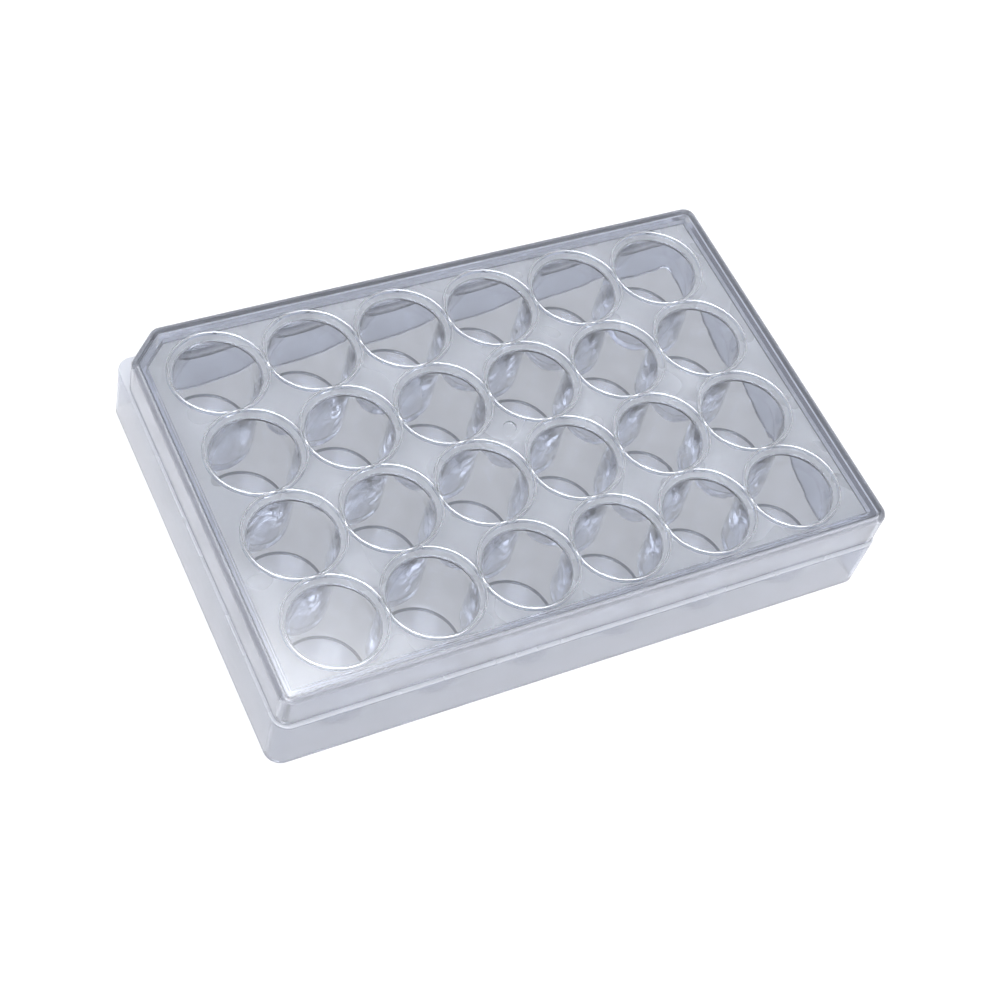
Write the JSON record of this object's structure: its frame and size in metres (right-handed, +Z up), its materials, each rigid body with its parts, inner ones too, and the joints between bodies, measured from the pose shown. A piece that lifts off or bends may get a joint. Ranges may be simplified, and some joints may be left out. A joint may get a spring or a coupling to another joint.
{
  "type": "well plate",
  "caption": "Rectangular multi-well culture plate in clear plastic with flat-bottomed round wells, one cut corner and a loose drop-on lid with condensation rings.",
  "frame": {"origin": "centre of the footprint, on the surface that the plate stands on", "axes": "+X along the long side, +Y from the front side towards the side with the cut corner, which is at -X, and +Z up out of the wells"},
  "size_m": [0.1278, 0.0854, 0.0217],
  "materials": {
    "clear_polystyrene": "clear glossy polystyrene"
  },
  "bodies": {
    "root": {"well_plate": "clear_polystyrene", "lid": "clear_polystyrene"}
  },
  "joints": []
}
